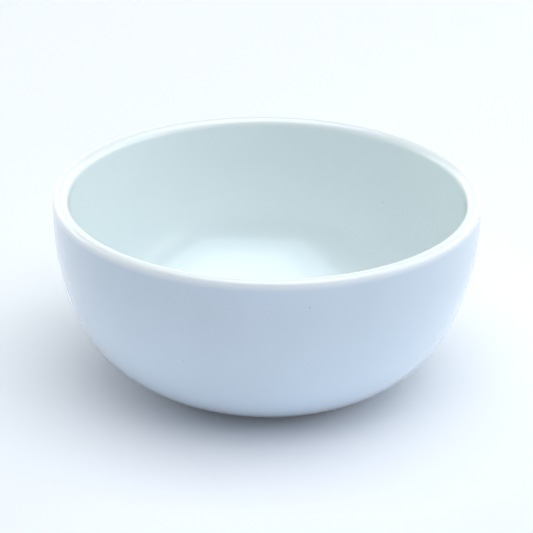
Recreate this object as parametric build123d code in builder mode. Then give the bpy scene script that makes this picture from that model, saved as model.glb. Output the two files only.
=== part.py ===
from build123d import *

import os
from math import asin, cos, degrees, radians, sin

# Porcelain evaporating dish: a thick-walled round bowl on a low foot ring, with no spout or handle.
# Millimetres. +Z is up, along the axis of the dish, and the origin is the centre of the plane that
# the foot ring rests on. All sizes are those of the finished dish, over its glaze.
#
# The fired porcelain body carries three coats of glaze. The inside coat runs from the floor up to
# the crown of the lip, the outside coat from the crown down to just above the foot, and the third
# lines the shallow recess inside the foot ring. The foot ring is wiped bare, so that the dish
# stands on porcelain and not on glaze.

OUTER_RADIUS = 50.0
HEIGHT = 45.0
GLAZE = 0.25  # thickness of each coat

# Side wall, in section: a slack arc from the lip down, upright at the widest place, which touches a
# tighter arc, the heel, that turns in towards the foot.
WIDEST_HEIGHT = 40.5
WALL_RADIUS = 61.7
WALL_TURN = 21.4  # degrees that the wall turns in below its widest place
HEEL_RADIUS = 30.0
HEEL_TURN = 47.6  # further degrees that the heel turns in, down to the edge of the glaze
WALL_THICKNESS = 3.5

# The inside follows the wall, then turns through a corner arc into a floor that is slightly dished.
CORNER_RADIUS = 21.0
FLOOR_SLOPE = 5.0  # degrees, where the floor meets the corner

# The lip is rounded over broadly on its inside and more tightly on its outside.
LIP_OUTER_RADIUS = 1.1
LIP_INNER_RADIUS = 1.9

# Foot ring and the recess inside it
FOOT_OUTER_RADIUS = 27.3
FOOT_INNER_RADIUS = 22.6
FOOT_HEIGHT = 0.55
FOOT_FLARE = 0.3  # how far the foot's outer flank leans out from bottom to top
FOOT_EDGE_RADIUS = 0.3
FOOT_ROOT_RADIUS = 0.4
RECESS_HEIGHT = 1.3
COVE_RADIUS = 0.6
RECESS_GLAZE_LINE = 0.45  # height at which the recess coat stops above the resting face


def from_centre(centre, radius, angle):
    """The point at a radius and an angle in degrees from an arc's centre."""
    turn = radians(angle)
    return (centre[0] + radius * cos(turn), centre[1] + radius * sin(turn))


# Centres of the section's arcs. Arcs that touch have their centres in line with the point they share.
wall_centre = (OUTER_RADIUS - WALL_RADIUS, WIDEST_HEIGHT)
heel_centre = from_centre(wall_centre, WALL_RADIUS - HEEL_RADIUS, -WALL_TURN)
inner_wall_radius = WALL_RADIUS - WALL_THICKNESS
corner_centre = from_centre(wall_centre, inner_wall_radius - CORNER_RADIUS, -WALL_TURN)
corner_end = FLOOR_SLOPE - 90
floor_edge = from_centre(corner_centre, CORNER_RADIUS, corner_end)
floor_radius = floor_edge[0] / sin(radians(FLOOR_SLOPE))
floor_centre = (0, floor_edge[1] + floor_radius * cos(radians(FLOOR_SLOPE)))
floor_height = floor_centre[1] - floor_radius

outer_lip_reach = WALL_RADIUS - LIP_OUTER_RADIUS
outer_lip_angle = degrees(asin((HEIGHT - LIP_OUTER_RADIUS - WIDEST_HEIGHT) / outer_lip_reach))
outer_lip_centre = from_centre(wall_centre, outer_lip_reach, outer_lip_angle)
inner_lip_reach = inner_wall_radius + LIP_INNER_RADIUS
inner_lip_angle = degrees(asin((HEIGHT - LIP_INNER_RADIUS - WIDEST_HEIGHT) / inner_lip_reach))
inner_lip_centre = from_centre(wall_centre, inner_lip_reach, inner_lip_angle)


def outside(depth):
    """Draw the outside from the edge of the glaze up to the crown of the lip, at a depth under the surface."""
    CenterArc(heel_centre, HEEL_RADIUS - depth, -WALL_TURN - HEEL_TURN, HEEL_TURN)
    CenterArc(wall_centre, WALL_RADIUS - depth, -WALL_TURN, WALL_TURN + outer_lip_angle)
    CenterArc(outer_lip_centre, LIP_OUTER_RADIUS - depth, outer_lip_angle, 90 - outer_lip_angle)


def inside(depth):
    """Draw the inside from the crown of the lip down to the middle of the floor, at a depth under the surface."""
    Line((outer_lip_centre[0], HEIGHT - depth), (inner_lip_centre[0], HEIGHT - depth))
    CenterArc(inner_lip_centre, LIP_INNER_RADIUS - depth, 90, 90 + inner_lip_angle)
    CenterArc(wall_centre, inner_wall_radius + depth, -WALL_TURN, WALL_TURN + inner_lip_angle)
    CenterArc(corner_centre, CORNER_RADIUS + depth, corner_end, -WALL_TURN - corner_end)
    CenterArc(floor_centre, floor_radius + depth, -90, FLOOR_SLOPE)


def recess(height):
    """Draw the recess under the dish, with a height of glaze on it, from its middle to where its glaze stops."""
    cove_centre = (FOOT_INNER_RADIUS - COVE_RADIUS, RECESS_HEIGHT - COVE_RADIUS)
    side = FOOT_INNER_RADIUS - height
    Line((0, RECESS_HEIGHT - height), (cove_centre[0], RECESS_HEIGHT - height))
    CenterArc(cove_centre, COVE_RADIUS - height, 0, 90)
    Line((side, cove_centre[1]), (side, RECESS_GLAZE_LINE))


def heel_end(depth):
    """The point where the outside coat stops above the foot, at a depth under the surface."""
    return from_centre(heel_centre, HEEL_RADIUS - depth, -WALL_TURN - HEEL_TURN)


# Porcelain body, bare only on the foot ring
with BuildPart() as porcelain_body:
    with BuildSketch(Plane.XZ):
        with BuildLine():
            outside(GLAZE)
            inside(GLAZE)
            Line((0, floor_height - GLAZE), (0, RECESS_HEIGHT))
            recess(0)
            FilletPolyline(
                (FOOT_INNER_RADIUS, RECESS_GLAZE_LINE),
                (FOOT_INNER_RADIUS, 0),
                (FOOT_OUTER_RADIUS, 0),
                (FOOT_OUTER_RADIUS + FOOT_FLARE, FOOT_HEIGHT),
                heel_end(GLAZE),
                radius=[FOOT_EDGE_RADIUS, FOOT_EDGE_RADIUS, FOOT_ROOT_RADIUS],
            )
        make_face()
    revolve(axis=Axis.Z)

# Inside coat, over the floor, the inner wall and the inner half of the lip
with BuildPart() as inside_glaze:
    with BuildSketch(Plane.XZ):
        with BuildLine():
            inside(0)
            inside(GLAZE)
            Line((outer_lip_centre[0], HEIGHT), (outer_lip_centre[0], HEIGHT - GLAZE))
            Line((0, floor_height), (0, floor_height - GLAZE))
        make_face()
    revolve(axis=Axis.Z)

# Outside coat, over the outer half of the lip and the outer wall
with BuildPart() as outside_glaze:
    with BuildSketch(Plane.XZ):
        with BuildLine():
            outside(0)
            outside(GLAZE)
            Line((outer_lip_centre[0], HEIGHT), (outer_lip_centre[0], HEIGHT - GLAZE))
            Line(heel_end(0), heel_end(GLAZE))
        make_face()
    revolve(axis=Axis.Z)

# Coat in the recess inside the foot ring
with BuildPart() as recess_glaze:
    with BuildSketch(Plane.XZ):
        with BuildLine():
            recess(0)
            recess(GLAZE)
            Line((0, RECESS_HEIGHT), (0, RECESS_HEIGHT - GLAZE))
            Line((FOOT_INNER_RADIUS, RECESS_GLAZE_LINE), (FOOT_INNER_RADIUS - GLAZE, RECESS_GLAZE_LINE))
        make_face()
    revolve(axis=Axis.Z)

os.makedirs("parts", exist_ok=True)

porcelain_body.part.label = "porcelain_body"
export_step(porcelain_body.part, "parts/porcelain_body.step")

inside_glaze.part.label = "inside_glaze"
export_step(inside_glaze.part, "parts/inside_glaze.step")

outside_glaze.part.label = "outside_glaze"
export_step(outside_glaze.part, "parts/outside_glaze.step")

recess_glaze.part.label = "recess_glaze"
export_step(recess_glaze.part, "parts/recess_glaze.step")
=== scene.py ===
from math import asin, ceil, cos, degrees, pi, radians, sin

import bpy
import numpy as np
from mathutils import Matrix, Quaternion, Vector


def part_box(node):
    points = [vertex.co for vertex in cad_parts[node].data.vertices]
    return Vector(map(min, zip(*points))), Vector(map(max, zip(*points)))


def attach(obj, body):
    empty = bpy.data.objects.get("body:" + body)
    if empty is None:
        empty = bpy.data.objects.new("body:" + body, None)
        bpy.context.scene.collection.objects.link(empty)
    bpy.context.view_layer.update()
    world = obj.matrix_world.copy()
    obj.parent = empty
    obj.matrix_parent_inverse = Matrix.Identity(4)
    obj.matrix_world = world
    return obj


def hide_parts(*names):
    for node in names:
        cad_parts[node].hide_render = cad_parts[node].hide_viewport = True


# A glazed porcelain evaporating dish. The CAD model's four nodes are each replaced by a finer mesh of
# the same section, with the unevenness that firing and glazing leave. Metres, in the CAD's own frame.

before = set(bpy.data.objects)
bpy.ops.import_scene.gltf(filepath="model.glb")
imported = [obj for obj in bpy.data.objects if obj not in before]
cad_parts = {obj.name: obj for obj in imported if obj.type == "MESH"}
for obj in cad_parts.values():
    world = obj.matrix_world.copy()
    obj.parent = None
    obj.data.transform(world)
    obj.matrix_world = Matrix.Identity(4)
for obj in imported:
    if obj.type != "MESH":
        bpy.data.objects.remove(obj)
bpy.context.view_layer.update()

MM = 0.001

# ---------------------------------------------------------------- the dish's section, as in the CAD
OUTER_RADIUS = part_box("outside_glaze")[1].x
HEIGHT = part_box("inside_glaze")[1].z
GLAZE = 0.25 * MM
WIDEST_HEIGHT = 40.5 * MM
WALL_RADIUS = 61.7 * MM
WALL_TURN = 21.4  # degrees
HEEL_RADIUS = 30.0 * MM
HEEL_TURN = 47.6  # degrees
WALL_THICKNESS = 3.5 * MM
CORNER_RADIUS = 21.0 * MM
FLOOR_SLOPE = 5.0  # degrees
LIP_OUTER_RADIUS = 1.1 * MM
LIP_INNER_RADIUS = 1.9 * MM
FOOT_OUTER_RADIUS = 27.3 * MM
FOOT_INNER_RADIUS = 22.6 * MM
FOOT_HEIGHT = 0.55 * MM
FOOT_FLARE = 0.3 * MM
FOOT_EDGE_RADIUS = 0.3 * MM
FOOT_ROOT_RADIUS = 0.4 * MM
RECESS_HEIGHT = 1.3 * MM
COVE_RADIUS = 0.6 * MM
RECESS_GLAZE_LINE = 0.45 * MM


def from_centre(centre, radius, angle):
    """The point of the section at a radius and an angle in degrees from an arc's centre."""
    turn = radians(angle)
    return (centre[0] + radius * cos(turn), centre[1] + radius * sin(turn))


wall_centre = (OUTER_RADIUS - WALL_RADIUS, WIDEST_HEIGHT)
heel_centre = from_centre(wall_centre, WALL_RADIUS - HEEL_RADIUS, -WALL_TURN)
heel_end_angle = -WALL_TURN - HEEL_TURN
inner_wall_radius = WALL_RADIUS - WALL_THICKNESS
corner_centre = from_centre(wall_centre, inner_wall_radius - CORNER_RADIUS, -WALL_TURN)
corner_end_angle = FLOOR_SLOPE - 90
floor_edge = from_centre(corner_centre, CORNER_RADIUS, corner_end_angle)
floor_radius = floor_edge[0] / sin(radians(FLOOR_SLOPE))
floor_centre = (0, floor_edge[1] + floor_radius * cos(radians(FLOOR_SLOPE)))
outer_lip_reach = WALL_RADIUS - LIP_OUTER_RADIUS
outer_lip_angle = degrees(asin((HEIGHT - LIP_OUTER_RADIUS - WIDEST_HEIGHT) / outer_lip_reach))
outer_lip_centre = from_centre(wall_centre, outer_lip_reach, outer_lip_angle)
inner_lip_reach = inner_wall_radius + LIP_INNER_RADIUS
inner_lip_angle = degrees(asin((HEIGHT - LIP_INNER_RADIUS - WIDEST_HEIGHT) / inner_lip_reach))
inner_lip_centre = from_centre(wall_centre, inner_lip_reach, inner_lip_angle)
cove_centre = (FOOT_INNER_RADIUS - COVE_RADIUS, RECESS_HEIGHT - COVE_RADIUS)


def arc(centre, radius, start, end, step):
    """Points of the section along an arc, about a step apart, from one angle in degrees to another."""
    count = max(3, ceil(abs(radians(end - start)) * radius / step))
    angles = [start + (end - start) * i / count for i in range(count + 1)]
    return [from_centre(centre, radius, angle) for angle in angles]


def line(start, end, step):
    """Points of the section along a straight line, about a step apart."""
    run = np.subtract(end, start)
    count = max(1, ceil(np.hypot(*run) / step))
    return [tuple(np.add(start, run * i / count)) for i in range(count + 1)]


TOUCHING = 1e-7  # metres under which two points count as one


def path(*runs):
    """The runs joined end to end as one array of points, without the points that they share."""
    points = [point for run in runs for point in run]
    kept = [points[0]]
    for point in points[1:]:
        if np.hypot(point[0] - kept[-1][0], point[1] - kept[-1][1]) > TOUCHING:
            kept.append(point)
    return np.array(kept)


FINE = 0.7 * MM  # spacing of rows on a wall that shows
EDGE = 0.15 * MM  # spacing of rows round a small radius
HIDDEN = 2.5 * MM  # spacing of rows on a face that another piece covers
EDGE_TURN = 6  # degrees of the heel, up from the edge of the glaze, with rows as close as on a small radius


def outside(depth, step):
    """From the edge of the glaze up the outside to the crown of the lip, at a depth under the surface."""
    return path(
        arc(heel_centre, HEEL_RADIUS - depth, heel_end_angle, heel_end_angle + EDGE_TURN, EDGE),
        arc(heel_centre, HEEL_RADIUS - depth, heel_end_angle + EDGE_TURN, -WALL_TURN, step),
        arc(wall_centre, WALL_RADIUS - depth, -WALL_TURN, outer_lip_angle, step),
        arc(outer_lip_centre, LIP_OUTER_RADIUS - depth, outer_lip_angle, 90, EDGE),
    )


def inside(depth, step):
    """From the crown of the lip down the inside to the middle of the floor, at a depth under the surface."""
    crown = HEIGHT - depth
    return path(
        line((outer_lip_centre[0], crown), (inner_lip_centre[0], crown), EDGE),
        arc(inner_lip_centre, LIP_INNER_RADIUS - depth, 90, 180 + inner_lip_angle, EDGE),
        arc(wall_centre, inner_wall_radius + depth, inner_lip_angle, -WALL_TURN, step),
        arc(corner_centre, CORNER_RADIUS + depth, -WALL_TURN, corner_end_angle, step),
        arc(floor_centre, floor_radius + depth, corner_end_angle, -90, step),
    )


def recess(height, step):
    """The recess under the dish, from its middle to where its glaze stops, with a height of glaze on it."""
    side = FOOT_INNER_RADIUS - height
    top = RECESS_HEIGHT - height
    return path(
        line((0, top), (cove_centre[0], top), step),
        arc(cove_centre, COVE_RADIUS - height, 90, 0, EDGE),
        line((side, cove_centre[1]), (side, RECESS_GLAZE_LINE), EDGE),
    )


def rounded(before, corner, after, radius):
    """An arc that rounds the corner between two straight runs of the section."""
    corner = np.array(corner)
    back, on = np.subtract(before, corner), np.subtract(after, corner)
    back, on = back / np.linalg.norm(back), on / np.linalg.norm(on)
    half = np.arccos(np.dot(back, on)) / 2
    middle = (back + on) / np.linalg.norm(back + on)
    centre = corner + middle * radius / sin(half)
    reach = radius / np.tan(half)
    start, end = corner + back * reach - centre, corner + on * reach - centre
    angle = degrees(np.arctan2(start[1], start[0]))
    turn = degrees(np.arctan2(end[1], end[0])) - angle
    return arc(centre, radius, angle, angle + (turn + 180) % 360 - 180, EDGE / 2)


def foot():
    """The bare foot ring, from where the recess's glaze stops round to where the outside coat stops."""
    recess_edge = (FOOT_INNER_RADIUS, RECESS_GLAZE_LINE)
    inner_edge = (FOOT_INNER_RADIUS, 0)
    outer_edge = (FOOT_OUTER_RADIUS, 0)
    root = (FOOT_OUTER_RADIUS + FOOT_FLARE, FOOT_HEIGHT)
    heel_end = from_centre(heel_centre, HEEL_RADIUS - GLAZE, heel_end_angle)
    inner_round = rounded(recess_edge, inner_edge, outer_edge, FOOT_EDGE_RADIUS)
    outer_round = rounded(inner_edge, outer_edge, root, FOOT_EDGE_RADIUS)
    root_round = rounded(outer_edge, root, heel_end, FOOT_ROOT_RADIUS)
    return path(
        line(recess_edge, inner_round[0], EDGE),
        inner_round,
        line(inner_round[-1], outer_round[0], EDGE * 2),
        outer_round,
        line(outer_round[-1], root_round[0], EDGE),
        root_round,
        line(root_round[-1], heel_end, EDGE),
    )


# ---------------------------------------------------------------- meshes
SEGMENTS = 384  # round the widest part; halved again and again towards the axis
FEWEST_SEGMENTS = 12
OVALNESS = 0.0012  # by how much of itself the lip's narrowest radius is short


def ring_counts(radii):
    """How many points each ring has, so that faces stay about as long as they are wide."""
    counts = []
    for radius in radii:
        count = SEGMENTS
        while count > FEWEST_SEGMENTS and radius < OUTER_RADIUS * count / SEGMENTS * 0.55:
            count //= 2
        counts.append(1 if radius < TOUCHING else count)
    for i in range(1, len(counts)):
        if counts[i - 1] > 1 and counts[i] > 1:
            counts[i] = min(counts[i], counts[i - 1] * 2)
    for i in range(len(counts) - 2, -1, -1):
        if counts[i + 1] > 1 and counts[i] > 1:
            counts[i] = min(counts[i], counts[i + 1] * 2)
    return counts


def stitch(a, b):
    """Faces between two rings of points, whose counts are equal, or one twice the other, or one is 1."""
    n, m = len(a), len(b)
    if n == 1:
        return [(a[0], b[i], b[(i + 1) % m]) for i in range(m)]
    if m == 1:
        return [(a[(i + 1) % n], a[i], b[0]) for i in range(n)]
    if n == m:
        return [(a[(i + 1) % n], a[i], b[i], b[(i + 1) % n]) for i in range(n)]
    if n == 2 * m:
        faces = []
        for i in range(m):
            first, middle, last = a[2 * i], a[2 * i + 1], a[(2 * i + 2) % n]
            faces.append((middle, first, b[i]))
            faces.append((last, middle, b[i], b[(i + 1) % m]))
        return faces
    return [tuple(reversed(face)) for face in stitch(b, a)]


def revolve(name, section, closed, relief=None):
    """A mesh turned from a section whose material lies to the left of its path, with an optional relief."""
    counts = ring_counts(section[:, 0])
    verts, rings = [], []
    for i, (radius, height) in enumerate(section):
        turn = np.arange(counts[i]) * 2 * pi / counts[i]
        r, z = np.full(counts[i], radius), np.full(counts[i], height)
        if relief is not None and counts[i] > 1:
            dr, dz = relief(i, turn)
            r, z = r + dr, z + dz
        start = len(verts)
        rings.append(list(range(start, start + counts[i])))
        verts.extend(warp(r, z, turn))
    pairs = list(zip(rings, rings[1:]))
    if closed:
        pairs.append((rings[-1], rings[0]))
    faces = [face for a, b in pairs for face in stitch(a, b)]
    mesh = bpy.data.meshes.new(name)
    mesh.from_pydata([tuple(v) for v in verts], [], faces)
    mesh.validate()
    mesh.polygons.foreach_set("use_smooth", [True] * len(mesh.polygons))
    mesh.set_sharp_from_angle(angle=radians(40))
    mesh.update()
    piece = bpy.data.objects.new(name, mesh)
    bpy.context.scene.collection.objects.link(piece)
    return piece


def warp(r, z, turn):
    """Firing leaves the dish very slightly oval towards its lip. Never larger than the true section."""
    rise = np.clip(z / HEIGHT, 0, 1) ** 2
    shrink = 1 - OVALNESS * rise * (0.5 - 0.5 * np.cos(2 * (turn - 0.6)))
    x, y = r * shrink * np.cos(turn), r * shrink * np.sin(turn)
    return np.column_stack([x, y, z])


def glaze_line(section, surface_rows):
    """The outside coat's uneven lower edge, which wavers round the dish and ends in a low bead."""
    from_heel = section - np.array(heel_centre)
    angle = np.arctan2(from_heel[:, 1], from_heel[:, 0])
    along = (angle - radians(heel_end_angle)) * HEEL_RADIUS
    near = np.clip(1 - along / (3 * MM), 0, 1) ** 2
    bead = 0.07 * MM * np.exp(-(((along - 0.5 * MM) / (0.45 * MM)) ** 2))
    bead[surface_rows:] = 0

    def relief(row, turn):
        waver = 1 + 0.5 * np.sin(3 * turn + 1.0) + 0.3 * np.sin(8 * turn + 2.2)
        climb = 0.2 * MM * near[row] * (waver + 0.2 * np.sin(19 * turn))
        c, s = cos(angle[row]), sin(angle[row])
        return bead[row] * c - climb * s, bead[row] * s + climb * c

    return relief


def make_pieces():
    """The dish's four pieces, each standing for the CAD node that it follows."""
    body = path(
        inside(GLAZE, HIDDEN)[::-1],
        outside(GLAZE, HIDDEN)[::-1],
        foot()[::-1],
        recess(0, HIDDEN)[::-1],
    )
    inner = path(inside(0, FINE)[::-1], inside(GLAZE, HIDDEN))
    surface = outside(0, FINE)[::-1]
    outer = path(surface, outside(GLAZE, HIDDEN))
    under = path(recess(0, HIDDEN), recess(GLAZE, FINE)[::-1])
    edge = glaze_line(outer, len(surface))
    return {
        "porcelain_body": revolve("body", body, closed=False),
        "inside_glaze": revolve("glaze_inside", inner, closed=False),
        "outside_glaze": revolve("glaze_outside", outer, closed=True, relief=edge),
        "recess_glaze": revolve("glaze_recess", under, closed=False),
    }


# ---------------------------------------------------------------- materials
def node(tree, kind, sockets=None, **settings):
    """A shader node, with values or links for its inputs by name or number."""
    made = tree.nodes.new("ShaderNode" + kind)
    for name, value in settings.items():
        setattr(made, name, value)
    for name, value in (sockets or {}).items():
        if isinstance(value, bpy.types.NodeSocket):
            tree.links.new(value, made.inputs[name])
        else:
            made.inputs[name].default_value = value
    return made


def noise(tree, place, size, detail=2.0):
    """Smooth noise whose features are about a size across."""
    return node(tree, "TexNoise", {"Vector": place, "Scale": 1 / size, "Detail": detail}).outputs[0]


def span(tree, value, low, high, to_low, to_high):
    """A value's range mapped onto another, and held at its ends."""
    sockets = {"Value": value, "From Min": low, "From Max": high, "To Min": to_low, "To Max": to_high}
    return node(tree, "MapRange", sockets).outputs[0]


def combine(tree, operation, a, b):
    """The result of a sum on two values."""
    return node(tree, "Math", {0: a, 1: b}, operation=operation).outputs[0]


def blend(tree, factor, a, b):
    """A colour between two colours."""
    return node(tree, "Mix", {0: factor, 6: a, 7: b}, data_type="RGBA").outputs[2]


def shifted(tree, place, offset, scale=(1, 1, 1)):
    """Texture coordinates moved and stretched, so that patterns don't repeat one another."""
    return node(tree, "Mapping", {"Vector": place, "Location": offset, "Scale": scale}).outputs[0]


def dots(tree, place, spacing, radius):
    """1 inside sparse round dots up to a radius, fading to 0 at their edges."""
    cells = node(tree, "TexVoronoi", {"Vector": place, "Scale": 1 / spacing})
    return span(tree, cells.outputs["Distance"], radius / spacing * 0.4, radius / spacing, 1.0, 0.0)


def spot(tree, place, centre, radius, strength):
    """A strength inside one round spot up to a radius, fading to 0 at its edge."""
    distance = node(tree, "VectorMath", {0: place, 1: centre}, operation="DISTANCE").outputs["Value"]
    return span(tree, distance, radius * 0.4, radius, strength, 0.0)


def scratches(tree, place, scale):
    """1 along faint fine lines, from noise that is stretched along one direction."""
    lines = noise(tree, shifted(tree, place, (0.3, 0.7, 0.1), scale), 1.0 * MM, 0.0)
    return span(tree, lines, 0.70, 0.74, 0.0, 1.0)


def bumped(tree, height, depth, under=None):
    """A normal raised by a height from 0 to 1 over a depth."""
    sockets = {"Height": height, "Distance": depth, "Strength": 1.0}
    if under is not None:
        sockets["Normal"] = under
    return node(tree, "Bump", sockets).outputs[0]


def new_material(name):
    """A new material, with its tree, its shader and coordinates in metres on the piece."""
    material = bpy.data.materials.new(name)
    material.use_nodes = True
    tree = material.node_tree
    place = node(tree, "TexCoord").outputs["Object"]
    return material, tree, tree.nodes["Principled BSDF"], place


INSIDE_THIN, INSIDE_THICK = (0.84, 0.905, 0.90, 1), (0.83, 0.905, 0.91, 1)
# The outside coat's colours are painted shade, darker and bluer than the inside, and painted bounce light
# from the floor, lighter and bluer towards the foot.
OUTSIDE_PAINTED_SHADE, OUTSIDE_PAINTED_BOUNCE = (0.59, 0.68, 0.78, 1), (0.69, 0.82, 0.95, 1)
# The lip's colour is painted light: a whiter top that stands in for the light falling on the crown.
LIP_PAINTED_LIGHT = (0.95, 0.97, 0.96, 1)
SPECK = (0.50, 0.50, 0.49, 1)
LIP_LIGHT_DEPTH = 2.2 * MM  # how far below the crown the lip's painted light reaches

# One speck on each side that stands out from the rest: its place, radius and strength
INSIDE_SPECK = ((29.1 * MM, 34.3 * MM, 27.7 * MM), 0.34 * MM, 0.3)
OUTSIDE_SPECK = ((9.4 * MM, -49.0 * MM, 38.9 * MM), 0.36 * MM, 0.6)
RECESS_SPECK = ((-9.0 * MM, 4.0 * MM, RECESS_HEIGHT - GLAZE), 0.25 * MM, 0.5)


def glaze_material(name, upper_colour, lower_colour, speck, worn):
    """White porcelain under a clear gloss glaze, with specks, pinholes and scratches from use, and painted
    shade and light in its colour.
    """
    material, tree, shader, place = new_material(name)

    # The glaze lies unevenly and, inside, thickens towards the floor. On the outside the colour runs from
    # painted shade near the lip to painted bounce light, lighter and bluer, towards the foot; the lip is
    # painted whiter, painted light on its top. A few iron specks show from the body below it.
    height = node(tree, "SeparateXYZ", {"Vector": place}).outputs["Z"]
    uneven = span(tree, noise(tree, place, 30 * MM), 0.35, 0.65, 0.0, 0.3)
    # Towards the foot this blends to the lower colour, which on the outside and in the recess is painted
    # bounce light from the floor.
    depth = combine(tree, "ADD", span(tree, height, 0.0, 0.8 * HEIGHT, 0.7, 0.0), uneven)
    # The lip is painted whiter here: painted light on its top.
    lit_lip = span(tree, height, HEIGHT - LIP_LIGHT_DEPTH, HEIGHT - 0.3 * MM, 0.0, 1.0)
    colour = blend(tree, lit_lip, blend(tree, depth, upper_colour, lower_colour), LIP_PAINTED_LIGHT)
    specks = dots(tree, shifted(tree, place, (0.021, 0.008, 0.017)), 9 * MM, 0.28 * MM)
    faint = span(tree, noise(tree, place, 9 * MM), 0.3, 0.7, 0.15, 0.9)
    specks = combine(tree, "MULTIPLY", specks, faint)
    specks = combine(tree, "MAXIMUM", specks, spot(tree, place, *speck))
    colour = blend(tree, specks, colour, SPECK)
    tree.links.new(colour, shader.inputs["Base Color"])

    # A gloss coat over a body that is duller along scratches and in cloudy patches
    cloud = noise(tree, shifted(tree, place, (2, 5, 1)), 14 * MM, 4.0)
    cloud = span(tree, cloud, 0.35, 0.7, 0.30, 0.40)
    along, across = scratches(tree, place, (0.04, 1, 0.3)), scratches(tree, place, (1, 0.05, 0.3))
    lines = combine(tree, "MAXIMUM", along, across)
    roughness = combine(tree, "ADD", cloud, combine(tree, "MULTIPLY", lines, worn))
    tree.links.new(roughness, shader.inputs["Roughness"])
    shader.inputs["Coat Weight"].default_value = 1.0
    shader.inputs["Coat Roughness"].default_value = 0.13
    shader.inputs["Coat IOR"].default_value = 1.5

    # The surface rolls gently, with a fine orange peel and a few pinholes
    rolling = bumped(tree, noise(tree, place, 16 * MM, 1.0), 0.05 * MM)
    peel = bumped(tree, noise(tree, place, 1.6 * MM, 1.0), 0.0015 * MM, rolling)
    holes = dots(tree, shifted(tree, place, (0.013, 0.029, 0.007)), 9 * MM, 0.2 * MM)
    surface = bumped(tree, combine(tree, "SUBTRACT", 1.0, holes), 0.015 * MM, peel)
    tree.links.new(surface, shader.inputs["Normal"])
    tree.links.new(surface, shader.inputs["Coat Normal"])
    return material


def bare_material(name):
    """Bare fired porcelain, ground on the face that the dish stands on and rubbed grey by use."""
    material, tree, shader, place = new_material(name)
    mottle = noise(tree, place, 5 * MM, 5.0)
    colour = blend(tree, mottle, (0.80, 0.78, 0.73, 1), (0.70, 0.68, 0.63, 1))
    height = node(tree, "SeparateXYZ", {"Vector": place}).outputs["Z"]
    resting = span(tree, height, 0.03 * MM, 0.15 * MM, 1.0, 0.0)
    rubbed = span(tree, noise(tree, shifted(tree, place, (1, 3, 2)), 4 * MM, 6.0), 0.5, 0.72, 0.0, 0.7)
    colour = blend(tree, combine(tree, "MULTIPLY", resting, rubbed), colour, (0.36, 0.35, 0.34, 1))
    tree.links.new(colour, shader.inputs["Base Color"])
    grain = noise(tree, place, 0.25 * MM, 3.0)
    tree.links.new(span(tree, grain, 0.3, 0.7, 0.72, 0.92), shader.inputs["Roughness"])
    tree.links.new(bumped(tree, grain, 0.02 * MM), shader.inputs["Normal"])
    return material


def dress(pieces):
    """Give each piece its material and body, and hide the CAD node that it stands for."""
    materials = {"porcelain_body": bare_material("bare_porcelain")}
    for name, upper_colour, lower_colour, speck, worn in (
        ("inside_glaze", INSIDE_THIN, INSIDE_THICK, INSIDE_SPECK, 0.03),
        # The outside and recess colours carry painted shade and painted bounce light.
        ("outside_glaze", OUTSIDE_PAINTED_SHADE, OUTSIDE_PAINTED_BOUNCE, OUTSIDE_SPECK, 0.03),
        ("recess_glaze", INSIDE_THIN, OUTSIDE_PAINTED_BOUNCE, RECESS_SPECK, 0.02),
    ):
        materials[name] = glaze_material(name, upper_colour, lower_colour, speck, worn)
    for name, piece in pieces.items():
        piece.data.materials.append(materials[name])
        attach(piece, "root")
        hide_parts(name)


# ---------------------------------------------------------------- stage, light and camera
FLOOR_SEGMENTS = 96
FLAT_RADIUS = 1.7  # how far out the floor is flat
SWEEP_RADIUS = 1.1  # of the curve that it then rises in
PANEL_DISTANCE = 1.4  # of the side panels from the dish's axis
WASH_DISTANCE = 1.3  # of the panels that light the sweep
PANEL_HEIGHT = 0.45  # of a panel's middle above the floor
PANEL_SIZE = (1.8, 0.8)


def make_floor():
    """A plain pale floor that sweeps up far from the dish. It isn't part of the object."""
    flat = line((0, 0), (FLAT_RADIUS, 0), 0.6)
    sweep = path(flat, arc((FLAT_RADIUS, SWEEP_RADIUS), SWEEP_RADIUS, -90, 0, 0.1))
    turn = np.arange(FLOOR_SEGMENTS) * 2 * pi / FLOOR_SEGMENTS
    verts = [(0, 0, 0)]
    faces = []
    for radius, height in sweep[1:]:
        verts.extend(zip(radius * np.cos(turn), radius * np.sin(turn), np.full(FLOOR_SEGMENTS, height)))
    for i in range(FLOOR_SEGMENTS):
        j = (i + 1) % FLOOR_SEGMENTS
        faces.append((0, 1 + i, 1 + j))
        for ring in range(1, len(sweep) - 1):
            inner, outer = 1 + (ring - 1) * FLOOR_SEGMENTS, 1 + ring * FLOOR_SEGMENTS
            faces.append((inner + i, outer + i, outer + j, inner + j))
    mesh = bpy.data.meshes.new("floor")
    mesh.from_pydata(verts, [], faces)
    mesh.polygons.foreach_set("use_smooth", [True] * len(mesh.polygons))
    floor = bpy.data.objects.new("floor", mesh)
    bpy.context.scene.collection.objects.link(floor)
    material = bpy.data.materials.new("floor")
    material.use_nodes = True
    shader = material.node_tree.nodes["Principled BSDF"]
    shader.inputs["Base Color"].default_value = (0.95, 0.93, 0.95, 1)
    shader.inputs["Roughness"].default_value = 0.9
    mesh.materials.append(material)


def softbox(name, place, facing, width, depth, power, colour):
    """A rectangular area light at a place, with its back turned to a direction."""
    light = bpy.data.lights.new(name, "AREA")
    light.shape = "RECTANGLE"
    light.size = width
    light.size_y = depth
    light.energy = power
    light.color = colour
    lamp = bpy.data.objects.new(name, light)
    lamp.location = place
    lamp.rotation_mode = "QUATERNION"
    lamp.rotation_quaternion = Vector(facing).to_track_quat("Z", "Y")
    bpy.context.scene.collection.objects.link(lamp)


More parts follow.
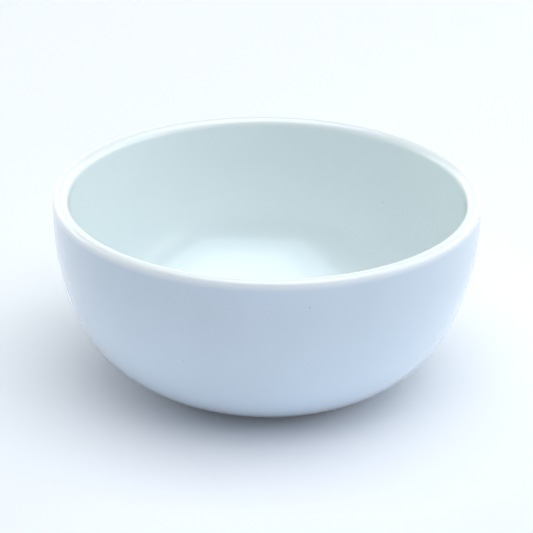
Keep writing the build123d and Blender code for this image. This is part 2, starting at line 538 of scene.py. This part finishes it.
def side_panel(name, turn, power, colour):
    """A wide soft panel that stands at an angle in degrees from +X and faces the dish."""
    x, y = from_centre((0, 0), PANEL_DISTANCE, turn)
    place = (x, y, PANEL_HEIGHT)
    softbox(name, place, place, *PANEL_SIZE, power, colour)


def backdrop_wash(name, turn, power, colour):
    """A panel at an angle in degrees from +X that faces away from the dish and lights the sweep."""
    x, y = from_centre((0, 0), WASH_DISTANCE, turn)
    softbox(name, (x, y, PANEL_HEIGHT), (-x, -y, 0), *PANEL_SIZE, power, colour)


def make_lights():
    """Soft studio light: a pale ceiling, warmer panels behind the dish and cooler ones beside it."""
    pale, warm, cool = (0.85, 0.93, 1.0), (0.95, 1.0, 0.91), (0.90, 0.96, 1.0)
    up = (0, 0, 1)
    softbox("ceiling", (0.30, -0.25, 1.20), up, 1.8, 1.6, 16.2, pale)
    softbox("ceiling_middle", (0.20, -0.05, 1.18), up, 0.9, 0.9, 3.2, pale)
    side_panel("back_right", 45, 4.2, warm)
    side_panel("back", 90, 3.4, warm)
    side_panel("back_left", 135, 6.2, warm)
    side_panel("right", 0, 5.8, cool)
    side_panel("left", 180, 2.8, cool)
    for turn in (0, 90, 180, 270):
        backdrop_wash(f"backdrop_{turn}", turn, 3.0, cool)
    world = bpy.data.worlds.new("world")
    world.use_nodes = True
    background = world.node_tree.nodes["Background"]
    background.inputs["Color"].default_value = (0.8, 0.9, 1.0, 1)
    background.inputs["Strength"].default_value = 0.02
    bpy.context.scene.world = world


def make_camera():
    """A long lens, looking down into the dish from the front."""
    elevation = radians(25.06)
    distance = 0.4995
    aim = Vector((0.04, 0, 25.52)) * MM
    back = Vector((0, -cos(elevation), sin(elevation)))
    data = bpy.data.cameras.new("camera")
    data.lens = 142.1
    data.sensor_width = 36.0
    camera = bpy.data.objects.new("camera", data)
    camera.location = aim + back * distance
    camera.rotation_mode = "QUATERNION"
    roll = Quaternion((0, 0, 1), radians(0.80))
    camera.rotation_quaternion = (-back).to_track_quat("-Z", "Y") @ roll
    bpy.context.scene.collection.objects.link(camera)
    bpy.context.scene.camera = camera


bpy.context.scene.view_settings.view_transform = "Standard"
make_camera()
pieces = make_pieces()
dress(pieces)
make_floor()
make_lights()
